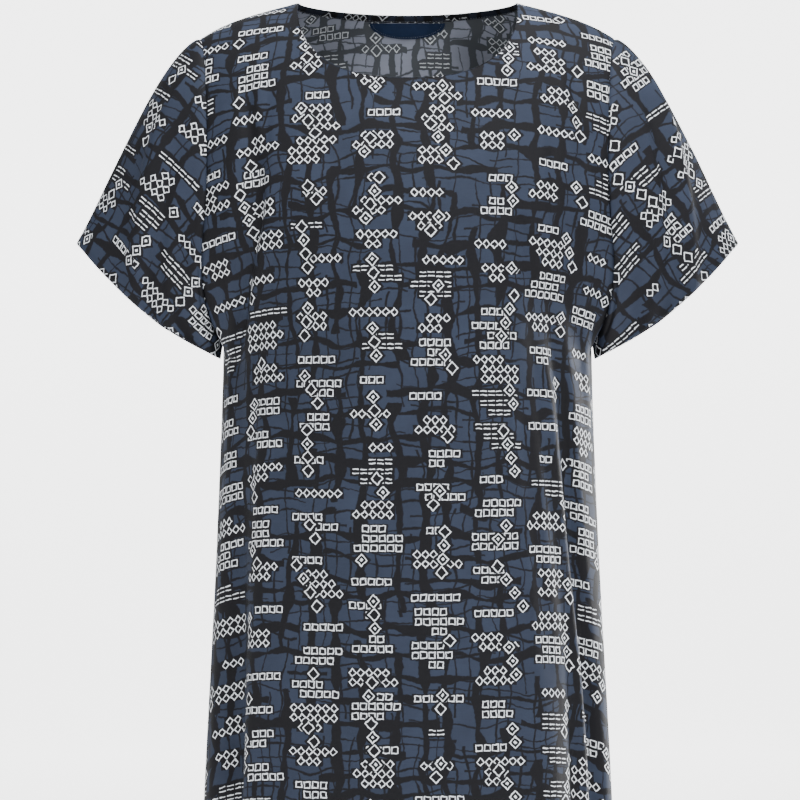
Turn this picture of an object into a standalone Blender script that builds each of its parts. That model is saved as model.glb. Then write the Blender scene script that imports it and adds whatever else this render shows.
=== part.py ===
"""Maxi dress: a loose, straight dress with short set-in sleeves and a scooped neck.

The cloth hangs hollow, as worn. Each cut piece is a thin wall of its own, and the walls stand a small gap
apart at the seams. The front faces -Y, the wearer's left is +X, and the shoulder neck points lie on z = 0.
"""

import math
from collections import namedtuple

import bmesh
import bpy
import numpy as np

# ---------------------------------------------------------------------------------------------------------
# Driving dimensions, in metres. A drop is a distance below the shoulder neck points.

LENGTH = 1.360
UNDERARM_DROP = 0.352
SHOULDER_HALF_WIDTH = 0.221
SHOULDER_SLOPE_DROP = 0.0270
SHOULDER_ROUND_DROP = 0.0115
SHOULDER_DROP = SHOULDER_SLOPE_DROP + SHOULDER_ROUND_DROP
SHOULDER_ROUNDING = 0.095
SHOULDER_BLEND_ANGLE = math.radians(126.0)

NECK_HALF_WIDTH = 0.1165
FRONT_NECK_DROP = 0.089
BACK_NECK_DROP = 0.0035
NECK_RISE = 0.090

FRONT_ARMHOLE_DEPTH = 0.066
BACK_ARMHOLE_DEPTH = 0.074
UNDERARM_DIP = 0.030
DIP_END_DROP = 0.600
DIP_FLATNESS = 8
ARMHOLE_CLOSENESS = 6

SLEEVE_TIP = (0.351, 0.254)
SLEEVE_INNER = (0.1987, 0.3775)
SLEEVE_FRONT_DEPTH = 0.042
SLEEVE_BACK_DEPTH = 0.050
SLEEVE_FRONT_BOW = 0.0105
SLEEVE_BACK_BOW = 0.0145
SLEEVE_TOP_BULGE = 0.0133
SLEEVE_SIDE_BULGE = 0.006
SWELL_START = 0.6
SWELL_END = 1.7

FACING_WIDTH = 0.0055
PATCH_HALF_WIDTH = 0.0415
PATCH_HEIGHT = 0.0165

WALL = 0.0015
TRIM_WALL = 0.0010
SEAM_GAP = 0.0004
UNDERARM_GAP = 0.0012

CUTTER_TOP = 0.2
CUTTER_DEPTH = 0.3
CUTTER_OVERLAP = 0.02

# ---------------------------------------------------------------------------------------------------------
# Mesh density: intervals along each edge of a piece.

NECK_COLUMNS = 7
SHOULDER_COLUMNS = 8
NECK_SHARE = 0.5
BODY_ROWS = 14
ARMHOLE_ROWS = 12
RIDGE_ANGLE = 1.5
SLEEVE_ROWS = 8
CAP_CLOSENESS = 0.25
NECK_STEPS = 28

FRONT = -1
BACK = 1

# ---------------------------------------------------------------------------------------------------------
# Shape tables.

Section = namedtuple("Section", "drop half_width front_depth back_depth")
SECTIONS = (
    Section(0.000, 0.1950, 0.072, 0.080),
    Section(0.050, 0.1950, 0.085, 0.094),
    Section(0.090, 0.1950, 0.096, 0.103),
    Section(0.150, 0.1950, 0.114, 0.113),
    Section(0.220, 0.1950, 0.129, 0.119),
    Section(0.290, 0.1945, 0.135, 0.119),
    Section(0.380, 0.1958, 0.134, 0.118),
    Section(0.600, 0.2038, 0.134, 0.120),
    Section(0.850, 0.2140, 0.140, 0.128),
    Section(1.100, 0.2245, 0.147, 0.138),
    Section(1.360, 0.2355, 0.155, 0.150),
)

# The armhole runs from the shoulder tip, at 0 degrees, to the underarm, at 180. Reach is the distance from
# the centre plane.
ArmholePoint = namedtuple("ArmholePoint", "angle reach")
ARMHOLE = (
    ArmholePoint(0, 0.2210),
    ArmholePoint(45, 0.2120),
    ArmholePoint(90, 0.2095),
    ArmholePoint(130, 0.2160),
    ArmholePoint(155, 0.2085),
    ArmholePoint(180, 0.1948),
)

# The neckline's two halves. Powers under 1 make a full, squarer curve, and powers over 1 a shallow one.
NeckEdge = namedtuple("NeckEdge", "drop side_power base_power")
FRONT_NECK = NeckEdge(FRONT_NECK_DROP, 0.8, 0.8)
BACK_NECK = NeckEdge(BACK_NECK_DROP, 1.0, 2.0)

# A fold runs from start to end, which are drops on the body and shares of the length on a sleeve. Its turn
# is in degrees across a panel, from -90 at the wearer's right side seam to 90 at the left one, or round a
# sleeve from the top by way of the front. A ridge has a positive height and a trough a negative one.
Fold = namedtuple("Fold", "start end start_turn end_turn half_width height")
FRONT_FOLDS = (
    Fold(0.10, 0.46, -66, -68, 13, -0.0060),
    Fold(0.12, 0.44, 67, 66, 13, -0.0055),
    Fold(0.22, 0.72, 44, 58, 12, -0.0060),
    Fold(0.46, 1.75, 57, 61, 12, -0.0090),
    Fold(0.38, 1.75, 76, 78, 11, 0.0070),
    Fold(0.40, 1.75, 41, 43, 14, 0.0050),
    Fold(0.34, 1.75, -61, -57, 11, -0.0080),
    Fold(0.40, 1.75, -77, -76, 10, 0.0060),
    Fold(0.44, 1.75, -42, -40, 13, 0.0055),
    Fold(0.62, 1.80, -21, -24, 15, -0.0050),
    Fold(0.70, 1.80, 20, 23, 16, -0.0045),
    Fold(0.66, 1.80, -1, 0, 15, 0.0045),
)
BACK_FOLDS = (
    Fold(0.11, 0.46, -66, -67, 13, -0.0055),
    Fold(0.10, 0.45, 65, 67, 13, -0.0060),
    Fold(0.34, 1.75, -60, -58, 12, -0.0080),
    Fold(0.40, 1.75, -77, -76, 10, 0.0060),
    Fold(0.36, 1.75, 59, 60, 12, -0.0085),
    Fold(0.38, 1.75, 76, 78, 11, 0.0070),
    Fold(0.28, 1.75, -37, -40, 14, 0.0065),
    Fold(0.24, 1.75, -14, -18, 15, -0.0065),
    Fold(0.26, 1.75, 8, 4, 14, 0.0060),
    Fold(0.30, 1.75, 28, 25, 13, -0.0060),
    Fold(0.32, 1.75, 44, 43, 12, 0.0050),
)
RIGHT_SLEEVE_FOLDS = (
    Fold(0.05, 1.35, 42, 100, 34, 0.0060),
    Fold(0.10, 1.30, 96, 146, 28, -0.0050),
    Fold(0.20, 1.40, 262, 236, 36, -0.0055),
)
LEFT_SLEEVE_FOLDS = (
    Fold(0.08, 1.35, 50, 92, 34, 0.0050),
    Fold(0.12, 1.30, 104, 140, 28, -0.0055),
    Fold(0.18, 1.40, 268, 240, 36, -0.0050),
)
FOLD_FADE = 0.35

PRINTED_BLUE = (0.060, 0.085, 0.135, 1.0)
PRINTED_DARK = (0.020, 0.022, 0.030, 1.0)
PLAIN_NAVY = (0.012, 0.022, 0.055, 1.0)
PRINTED_ROUGHNESS = 0.62
PATCH_ROUGHNESS = 0.6


# ---------------------------------------------------------------------------------------------------------
# Helpers.


def rise(share):
    """Smooth step from 0 to 1."""
    share = np.clip(share, 0.0, 1.0)
    return share * share * (3.0 - 2.0 * share)


def smooth_through(table, key, column):
    """A function on the smooth curve through one column of a table."""
    at = np.array([getattr(row, key) for row in table], float)
    values = np.array([getattr(row, column) for row in table], float)
    slopes = np.gradient(values, at)

    def read(position):
        position = np.clip(position, at[0], at[-1])
        low = np.clip(np.searchsorted(at, position) - 1, 0, len(at) - 2)
        width = at[low + 1] - at[low]
        t = (position - at[low]) / width
        ends = values[low] * (1 + 2 * t) * (1 - t) ** 2 + values[low + 1] * t * t * (3 - 2 * t)
        return ends + width * t * (1 - t) * (slopes[low] * (1 - t) - slopes[low + 1] * t)

    return read


half_width = smooth_through(SECTIONS, "drop", "half_width")
body_depth = {
    FRONT: smooth_through(SECTIONS, "drop", "front_depth"),
    BACK: smooth_through(SECTIONS, "drop", "back_depth"),
}
armhole_reach = smooth_through(ARMHOLE, "angle", "reach")
ARMHOLE_DEPTHS = {FRONT: FRONT_ARMHOLE_DEPTH, BACK: BACK_ARMHOLE_DEPTH}
PANEL_FOLDS = {FRONT: FRONT_FOLDS, BACK: BACK_FOLDS}


def fold_height(folds, turn, place):
    """How far the folds move the cloth out, at a turn in degrees and a place along them."""
    height = np.zeros(np.broadcast(turn, place).shape)
    for fold in folds:
        along = np.clip((place - fold.start) / (fold.end - fold.start), 0.0, 1.0)
        strength = rise(along / FOLD_FADE) * rise((1.0 - along) / FOLD_FADE)
        centre = fold.start_turn + (fold.end_turn - fold.start_turn) * rise(along)
        across = np.clip(np.abs(turn - centre) / fold.half_width, 0.0, 1.0)
        height = height + fold.height * strength * (0.5 + 0.5 * np.cos(math.pi * across))
    return height


def unit(vectors):
    return vectors / np.linalg.norm(vectors, axis=-1, keepdims=True)


# ---------------------------------------------------------------------------------------------------------
# The cloth's shape, with neighbouring pieces still sharing their seam points.


def column_shares():
    """Columns across a panel, from -1 at the wearer's right edge to 1 at the left one."""
    neck = np.linspace(0.0, NECK_SHARE, NECK_COLUMNS + 1)
    shoulder = np.linspace(NECK_SHARE, 1.0, SHOULDER_COLUMNS + 1)
    half = np.concatenate([neck, shoulder[1:]])
    return np.concatenate([-half[:0:-1], half])


def shoulder_line(share):
    """Distance from the centre plane and height of the shoulder ridge. It runs on up over the open neck."""
    neck_part = np.clip(share / NECK_SHARE, 0.0, 1.0)
    shoulder_part = np.clip((share - NECK_SHARE) / (1.0 - NECK_SHARE), 0.0, 1.0)
    reach = NECK_HALF_WIDTH * neck_part + (SHOULDER_HALF_WIDTH - NECK_HALF_WIDTH) * shoulder_part
    fall = SHOULDER_SLOPE_DROP * shoulder_part + SHOULDER_ROUND_DROP * shoulder_part**4
    return reach, NECK_RISE * (1.0 - neck_part) - fall


def fold_out(side, share, x, y, z):
    """Stacks the points of a panel, moved out by its folds."""
    across = x / half_width(-z) ** 2
    forward = y / body_depth[side](-z) ** 2
    length = np.hypot(across, forward) + 1e-9
    _, ridge = shoulder_line(np.abs(share))
    clear_of_ridge = rise((ridge - z) / SHOULDER_ROUNDING)
    height = fold_height(PANEL_FOLDS[side], 90.0 * share, -z) * clear_of_ridge
    return np.stack([x + height * across / length, y + height * forward / length, z], axis=-1)


def skirt_rows(side, share):
    """Level sections of one panel, from the hem up to just under the armhole."""
    drop = np.linspace(LENGTH, UNDERARM_DROP, BODY_ROWS + 1)[:-1, None]
    dip = UNDERARM_DIP * (1.0 - np.abs(share) ** DIP_FLATNESS)
    z = -(drop + dip * rise((DIP_END_DROP - drop) / (DIP_END_DROP - UNDERARM_DROP)))
    turn = share * math.pi / 2
    x = half_width(-z) * np.sin(turn)
    y = side * body_depth[side](-z) * np.cos(turn)
    return fold_out(side, share, x, y, z)


def armhole_angles():
    """From the underarm, at 180 degrees, to the shoulder tip, with one more step close to the ridge."""
    even = np.linspace(180.0, 0.0, ARMHOLE_ROWS + 1)
    return np.concatenate([even[:-1], [RIDGE_ANGLE, 0.0]])


def chest_rows(side, share):
    """Sections of one panel from the underarm to the shoulder, each ending on the armhole."""
    angle = np.radians(armhole_angles())[:, None]
    lowered = (1.0 - np.cos(angle)) / 2.0
    out = np.abs(share)
    ridge_reach, ridge = shoulder_line(out)
    floor = -(UNDERARM_DROP + UNDERARM_DIP * (1.0 - out**DIP_FLATNESS))
    z = ridge + (floor - ridge) * lowered

    # Beside the armhole a section follows it. Further in, it leaves the underarm's section more slowly.
    slow = rise(2.0 * (1.0 - lowered))
    beside_armhole = out**ARMHOLE_CLOSENESS
    opened = slow + (np.sin(angle) - slow) * beside_armhole
    edge_depth = ARMHOLE_DEPTHS[side] * np.where(angle > math.pi / 2, opened, 1.0)
    edge_drop = SHOULDER_DROP + (UNDERARM_DROP - SHOULDER_DROP) * lowered
    edge_turn = np.arccos(edge_depth / body_depth[side](edge_drop))
    reached = slow + (1.0 - slow) * beside_armhole
    reach = half_width(-z) + (armhole_reach(np.degrees(angle)) - half_width(-z)) * reached
    x = reach * np.sin(edge_turn * out) / np.sin(edge_turn)
    x = x + (ridge_reach - x[-1:]) * rise(1.0 - angle / SHOULDER_BLEND_ANGLE)

    armhole_rounding = (UNDERARM_DROP - SHOULDER_DROP) / 2.0
    beyond_neck = np.clip((out - NECK_SHARE) / (1.0 - NECK_SHARE), 0.0, 1.0)
    rounding = SHOULDER_ROUNDING + (armhole_rounding - SHOULDER_ROUNDING) * beyond_neck
    below_ridge = np.clip((ridge - z) / rounding, 0.0, 1.0)
    y = side * body_depth[side](-z) * np.cos(edge_turn * out) * np.sqrt(1.0 - (1.0 - below_ridge) ** 2)
    return fold_out(side, share, np.sign(share) * x, y, z)


def panel_points(side):
    share = column_shares()
    return np.concatenate([skirt_rows(side, share), chest_rows(side, share)])


def armhole_loop(front, back, column):
    """Points round an armhole: from the shoulder tip down the front edge and up the back edge."""
    down = front[BODY_ROWS:, column][::-1]
    up = back[BODY_ROWS:, column]
    return np.concatenate([down, up[1:-1]])


def sleeve_points(hand, armhole, folds):
    """Rings of a sleeve from the armhole to its hem. Hand is 1 at +X and -1 at -X."""
    mirror = np.array([hand, 1.0, 1.0])
    start = armhole * mirror
    down = armhole_angles()[::-1]
    turn = np.concatenate([down, 360.0 - down[-2:0:-1]])[None, :]
    cos = np.cos(np.radians(turn))[..., None]
    sin = np.sin(np.radians(turn))[..., None]
    closeness = 1.0 + CAP_CLOSENESS * (0.5 + 0.5 * cos)
    along = (np.arange(SLEEVE_ROWS + 1) / SLEEVE_ROWS)[:, None, None] ** closeness

    tip = np.array([SLEEVE_TIP[0], 0.0, -SLEEVE_TIP[1]])
    inner = np.array([SLEEVE_INNER[0], 0.0, -SLEEVE_INNER[1]])
    half_hem = (tip - inner) / 2.0
    down_sleeve = unit(np.array([half_hem[2], 0.0, -half_hem[0]]))
    top_line = tip - start[0]
    over_top = unit(np.array([-top_line[2], 0.0, top_line[0]]))
    forward = np.array([0.0, -1.0, 0.0])
    depth = np.where(sin > 0, SLEEVE_FRONT_DEPTH, SLEEVE_BACK_DEPTH)
    bow = np.where(sin > 0, SLEEVE_FRONT_BOW, SLEEVE_BACK_BOW)
    hem = (tip + inner) / 2.0 + cos * half_hem + sin * depth * forward + sin * sin * bow * down_sleeve

    peak = SWELL_START / (SWELL_START + SWELL_END)
    swell = (along / peak) ** SWELL_START * ((1.0 - along) / (1.0 - peak)) ** SWELL_END
    amount = SLEEVE_TOP_BULGE * np.clip(cos, 0, 1) ** 2 + SLEEVE_SIDE_BULGE * np.abs(sin)
    creases = fold_height(folds, turn, along[..., 0])[..., None]
    outward = unit(cos * over_top + sin * forward)
    points = start * (1.0 - along) + hem * along + outward * (amount * swell + creases)
    return points * mirror


# ---------------------------------------------------------------------------------------------------------
# Seams: each piece steps back from its neighbour by half the gap.


def over_seam(edge, own, beyond):
    """Unit directions over a seam, from a piece to its neighbour."""
    return unit(unit(beyond - edge) - unit(own - edge))


def half_gaps(count, corner):
    """How far each point of an edge steps back. Three pieces meet at the corner."""
    gaps = np.full((count, 1), SEAM_GAP / 2.0)
    gaps[corner] = UNDERARM_GAP / 2.0
    return gaps


def sewn_panel(panel, other, right_sleeve, left_sleeve):
    """A panel's points, clear of the other panel and of the sleeves."""
    points = panel.copy()
    points[-1] -= over_seam(panel[-1], panel[-2], other[-2]) * SEAM_GAP / 2.0
    for column, inside, sleeve in ((0, 1, right_sleeve), (-1, -2, left_sleeve)):
        beyond = np.concatenate([other[: BODY_ROWS + 1, inside], sleeve])
        direction = over_seam(panel[:, column], panel[:, inside], beyond)
        direction[BODY_ROWS] = unit(panel[BODY_ROWS, column] - panel[BODY_ROWS, inside])
        points[:, column] -= direction * half_gaps(len(panel), BODY_ROWS)
    return points


def sewn_sleeve(sleeve, front, back, inside):
    """A sleeve's points, clear of the body. Inside is the body's column beside the armhole."""
    body = armhole_loop(front, back, inside)
    underarm = len(body) // 2
    body[underarm] = (front[BODY_ROWS, inside] + back[BODY_ROWS, inside]) / 2.0
    points = sleeve.copy()
    points[0] -= over_seam(sleeve[0], sleeve[1], body) * half_gaps(len(body), underarm)
    return points


# ---------------------------------------------------------------------------------------------------------
# Objects.


def clear_scene():
    for thing in list(bpy.data.objects):
        bpy.data.objects.remove(thing, do_unlink=True)


def collection(name):
    made = bpy.data.collections.new(name)
    bpy.context.scene.collection.children.link(made)
    return made


def material(name, colour, roughness):
    made = bpy.data.materials.new(name)
    made.use_nodes = True
    shader = made.node_tree.nodes["Principled BSDF"]
    shader.inputs["Base Color"].default_value = colour
    shader.inputs["Roughness"].default_value = roughness
    shader.inputs["Metallic"].default_value = 0.0
    return made


def loft(name, points, mirrored, closed):
    """A surface through rows of points. A mirrored one has its columns running the other way round.

    A closed one joins each row's end to its start.
    """
    rows, columns = points.shape[:2]
    shape = bmesh.new()
    corners = [[shape.verts.new(point) for point in row] for row in points.tolist()]
    for row in range(rows - 1):
        for column in range(columns if closed else columns - 1):
            beside = (column + 1) % columns
            low, low_beside = corners[row][column], corners[row][beside]
            high, high_beside = corners[row + 1][column], corners[row + 1][beside]
            for face in ((low, low_beside, high_beside), (low, high_beside, high)):
                shape.faces.new(face[::-1] if mirrored else face)
    mesh = bpy.data.meshes.new(name)
    shape.to_mesh(mesh)
    shape.free()
    mesh.shade_smooth()
    return mesh


def cloth(name, mesh, thickness, finish, home):
    """An object of cloth: a wall inside a surface."""
    mesh.materials.append(finish)
    piece = bpy.data.objects.new(name, mesh)
    home.objects.link(piece)
    wall = piece.modifiers.new("wall", "SOLIDIFY")
    wall.thickness = thickness
    wall.offset = -1.0
    return piece


def layer_inside(name, points, mirrored):
    """The top of a panel's surface, moved in until it clears the panel's wall."""
    mesh = loft(name, points, mirrored, False)
    for vertex, normal in zip(mesh.vertices, [tuple(vertex.normal) for vertex in mesh.vertices]):
        for axis in range(3):
            vertex.co[axis] -= normal[axis] * (WALL + SEAM_GAP)
    return mesh


def prism(name, outline, start, end, home):
    """A closed cutter from start to end along Y, with its outline given in the front view."""
    shape = bmesh.new()
    base = shape.faces.new([shape.verts.new((x, start, z)) for x, z in outline])
    pushed = bmesh.ops.extrude_face_region(shape, geom=[base])
    moved = [part for part in pushed["geom"] if isinstance(part, bmesh.types.BMVert)]
    bmesh.ops.translate(shape, verts=moved, vec=(0.0, end - start, 0.0))
    bmesh.ops.recalc_face_normals(shape, faces=shape.faces)
    mesh = bpy.data.meshes.new(name)
    shape.to_mesh(mesh)
    shape.free()
    cutter = bpy.data.objects.new(name, mesh)
    cutter.hide_render = True
    cutter.display_type = "WIRE"
    home.objects.link(cutter)
    return cutter


def cut(piece, cutter, operation):
    change = piece.modifiers.new(cutter.name, "BOOLEAN")
    change.operation = operation
    change.solver = "EXACT"
    change.object = cutter


def neck_curve(edge, margin=0.0):
    """A neckline in the front view, from the wearer's left neck point down and up to the right one."""
    angles = np.linspace(0.0, math.pi, NECK_STEPS + 1)
    sideways = np.sign(np.cos(angles)) * np.abs(np.cos(angles)) ** edge.side_power
    x = (NECK_HALF_WIDTH + margin) * sideways
    z = -(edge.drop + margin) * np.sin(angles) ** edge.base_power
    return list(zip(x.tolist(), z.tolist()))


def lifted(curve, top):
    """A curve with its two ends carried up to a level top."""
    return [(curve[0][0], top)] + curve + [(curve[-1][0], top)]


def half_moon():
    """Outline of the bare patch under the facing at the centre back."""
    top = -(BACK_NECK_DROP + FACING_WIDTH + SEAM_GAP)
    angles = np.linspace(0.0, math.pi, NECK_STEPS // 2 + 1)
    x = PATCH_HALF_WIDTH * np.cos(angles)
    z = top - PATCH_HEIGHT * np.sin(angles)
    return list(zip(x.tolist(), z.tolist()))


# ---------------------------------------------------------------------------------------------------------
# The dress.


def build():
    clear_scene()
    dress = collection("maxi_dress")
    cutters = collection("cutters")

    front = panel_points(FRONT)
    back = panel_points(BACK)
    right = sleeve_points(-1, armhole_loop(front, back, 0), RIGHT_SLEEVE_FOLDS)
    left = sleeve_points(1, armhole_loop(front, back, -1), LEFT_SLEEVE_FOLDS)

    # Each sleeve's second ring, read from the underarm up the armhole's front edge and up its back edge.
    underarm = right.shape[1] // 2
    up_front = [rings[1, :underarm][::-1] for rings in (right, left)]
    up_back = [np.append(rings[1, underarm + 1 :], rings[1, :1], axis=0) for rings in (right, left)]
    sewn_front = sewn_panel(front, back, *up_front)
    sewn_back = sewn_panel(back, front, *up_back)

    panels = (
        ("front", sewn_front, False, FRONT_NECK, -CUTTER_DEPTH, CUTTER_OVERLAP),
        ("back", sewn_back, True, BACK_NECK, -CUTTER_OVERLAP, CUTTER_DEPTH),
    )
    for name, points, mirrored, edge, start, end in panels:
        finish = material(name + "_cloth", PRINTED_BLUE, PRINTED_ROUGHNESS)
        panel = cloth(name, loft(name, points, mirrored, False), WALL, finish, dress)
        opening = lifted(neck_curve(edge), CUTTER_TOP)
        cut(panel, prism(name + "_neck_cutter", opening, start, end, cutters), "DIFFERENCE")

        finish = material(name + "_facing_cloth", PRINTED_DARK, PRINTED_ROUGHNESS)
        surface = layer_inside(name, points[BODY_ROWS:], mirrored)
        facing = cloth("neck_facing_" + name, surface, TRIM_WALL, finish, dress)
        strip = lifted(neck_curve(edge, FACING_WIDTH), CUTTER_TOP) + opening[::-1]
        cut(facing, prism(name + "_facing_cutter", strip, start, end, cutters), "INTERSECT")

    for name, hand, rings, inside in (("sleeve_right", -1, right, 1), ("sleeve_left", 1, left, -2)):
        finish = material(name + "_cloth", PRINTED_BLUE, PRINTED_ROUGHNESS)
        points = sewn_sleeve(rings, front, back, inside)
        cloth(name, loft(name, points, hand < 0, True), WALL, finish, dress)

    finish = material("neck_patch_cloth", PLAIN_NAVY, PATCH_ROUGHNESS)
    surface = layer_inside("neck_patch", sewn_back[BODY_ROWS:], True)
    patch = cloth("neck_patch", surface, TRIM_WALL, finish, dress)
    cut(patch, prism("neck_patch_cutter", half_moon(), CUTTER_OVERLAP, CUTTER_DEPTH, cutters), "INTERSECT")


if __name__ == "__main__":
    build()
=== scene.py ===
"""Maxi dress: the finished look of a loose printed dress, laid over its solids.

The cloth of each cut piece is a thin shell on the form of its solid, with its creases, its turned-up hem and
its print. The neck facing, the patch, the seam allowances and the stitching follow the same surfaces.
"""

import math
from collections import namedtuple
from functools import reduce

import bmesh
import bpy
import numpy as np
from bpy.props import FloatProperty, FloatVectorProperty, IntProperty, PointerProperty
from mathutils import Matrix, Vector
from mathutils.bvhtree import BVHTree


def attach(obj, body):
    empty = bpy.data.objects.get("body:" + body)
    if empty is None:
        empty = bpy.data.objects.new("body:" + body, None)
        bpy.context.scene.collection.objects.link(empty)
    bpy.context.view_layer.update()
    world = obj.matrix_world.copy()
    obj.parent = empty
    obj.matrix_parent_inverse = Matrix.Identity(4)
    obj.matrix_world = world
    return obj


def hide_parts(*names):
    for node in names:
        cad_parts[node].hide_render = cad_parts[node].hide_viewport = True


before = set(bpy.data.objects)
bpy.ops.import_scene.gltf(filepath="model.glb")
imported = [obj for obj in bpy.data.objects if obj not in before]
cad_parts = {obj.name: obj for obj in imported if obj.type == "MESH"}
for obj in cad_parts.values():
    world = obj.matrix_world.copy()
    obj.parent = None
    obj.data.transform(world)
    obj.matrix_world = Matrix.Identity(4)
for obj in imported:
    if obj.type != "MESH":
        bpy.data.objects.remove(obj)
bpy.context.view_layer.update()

bl_info = {
    "name": "Maxi dress",
    "version": (1, 0, 0),
    "blender": (4, 5, 0),
    "location": "3D View > Sidebar > Dress",
    "description": "Makes a loose printed maxi dress, hanging as worn",
    "category": "Add Mesh",
}

CLOTH_UV = "cloth"

# The cut of the dress, in metres. A drop is a distance below the shoulder neck points.

LENGTH = 1.360
UNDERARM_DROP = 0.352
SHOULDER_HALF_WIDTH = 0.221
SHOULDER_SLOPE_DROP = 0.0270
SHOULDER_ROUND_DROP = 0.0115
SHOULDER_DROP = SHOULDER_SLOPE_DROP + SHOULDER_ROUND_DROP
SHOULDER_ROUNDING = 0.095
SHOULDER_BLEND_ANGLE = math.radians(126.0)

NECK_HALF_WIDTH = 0.1165
FRONT_NECK_DROP = 0.089
BACK_NECK_DROP = 0.0035
NECK_RISE = 0.090
NECK_SHARE = 0.5

ARMHOLE_DEPTHS = {-1: 0.066, 1: 0.074}
UNDERARM_DIP = 0.030
DIP_END_DROP = 0.600
DIP_FLATNESS = 8
ARMHOLE_CLOSENESS = 6

SLEEVE_TIP = (0.351, 0.254)
SLEEVE_INNER = (0.1987, 0.3775)
SLEEVE_FRONT_DEPTH = 0.042
SLEEVE_BACK_DEPTH = 0.050
SLEEVE_FRONT_BOW = 0.0105
SLEEVE_BACK_BOW = 0.0145
SLEEVE_TOP_BULGE = 0.0133
SLEEVE_SIDE_BULGE = 0.006
SWELL_START = 0.6
SWELL_END = 1.7

PATCH_HALF_WIDTH = 0.0415
PATCH_HEIGHT = 0.0165
PATCH_GAP = 0.0004

FRONT = -1
BACK = 1
# 1 at +X, the wearer's left, and -1 at -X.
HANDS = ((-1, "right"), (1, "left"))

Section = namedtuple("Section", "drop half_width front_depth back_depth")
SECTIONS = (
    Section(0.000, 0.1950, 0.072, 0.080),
    Section(0.050, 0.1950, 0.085, 0.094),
    Section(0.090, 0.1950, 0.096, 0.103),
    Section(0.150, 0.1950, 0.114, 0.113),
    Section(0.220, 0.1950, 0.129, 0.119),
    Section(0.290, 0.1945, 0.135, 0.119),
    Section(0.380, 0.1958, 0.134, 0.118),
    Section(0.600, 0.2038, 0.134, 0.120),
    Section(0.850, 0.2140, 0.140, 0.128),
    Section(1.100, 0.2245, 0.147, 0.138),
    Section(1.360, 0.2355, 0.155, 0.150),
)

# From the shoulder tip, at 0 degrees, to the underarm, at 180.
ArmholePoint = namedtuple("ArmholePoint", "angle reach")
ARMHOLE = (
    ArmholePoint(0, 0.2210),
    ArmholePoint(45, 0.2120),
    ArmholePoint(90, 0.2095),
    ArmholePoint(130, 0.2160),
    ArmholePoint(155, 0.2085),
    ArmholePoint(180, 0.1948),
)

NeckEdge = namedtuple("NeckEdge", "drop side_power base_power")
NECK_EDGES = {FRONT: NeckEdge(FRONT_NECK_DROP, 0.8, 0.8), BACK: NeckEdge(BACK_NECK_DROP, 1.0, 2.0)}

# Folds that the solids have too. Start and end are drops on the body and shares of the length on a sleeve,
# and the turn is in degrees across a panel or round a sleeve.
Fold = namedtuple("Fold", "start end start_turn end_turn half_width height")


def folds(*rows):
    return [Fold(*row) for row in rows]


FRONT_FOLDS = folds(
    (0.1, 0.46, -66, -68, 13, -0.006), (0.12, 0.44, 67, 66, 13, -0.0055),
    (0.22, 0.72, 44, 58, 12, -0.006), (0.46, 1.75, 57, 61, 12, -0.009), (0.38, 1.75, 76, 78, 11, 0.007),
    (0.4, 1.75, 41, 43, 14, 0.005), (0.34, 1.75, -61, -57, 11, -0.008), (0.4, 1.75, -77, -76, 10, 0.006),
    (0.44, 1.75, -42, -40, 13, 0.0055), (0.62, 1.8, -21, -24, 15, -0.005),
    (0.7, 1.8, 20, 23, 16, -0.0045), (0.66, 1.8, -1, 0, 15, 0.0045),
)
BACK_FOLDS = folds(
    (0.11, 0.46, -66, -67, 13, -0.0055), (0.1, 0.45, 65, 67, 13, -0.006),
    (0.34, 1.75, -60, -58, 12, -0.008), (0.4, 1.75, -77, -76, 10, 0.006),
    (0.36, 1.75, 59, 60, 12, -0.0085), (0.38, 1.75, 76, 78, 11, 0.007),
    (0.28, 1.75, -37, -40, 14, 0.0065), (0.24, 1.75, -14, -18, 15, -0.0065),
    (0.26, 1.75, 8, 4, 14, 0.006), (0.3, 1.75, 28, 25, 13, -0.006), (0.32, 1.75, 44, 43, 12, 0.005),
)
RIGHT_SLEEVE_FOLDS = folds(
    (0.05, 1.35, 42, 100, 34, 0.006), (0.1, 1.3, 96, 146, 28, -0.005), (0.2, 1.4, 262, 236, 36, -0.0055),
)
LEFT_SLEEVE_FOLDS = folds(
    (0.08, 1.35, 50, 92, 34, 0.005), (0.12, 1.3, 104, 140, 28, -0.0055),
    (0.18, 1.4, 268, 240, 36, -0.005),
)
FOLD_FADE = 0.35

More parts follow.
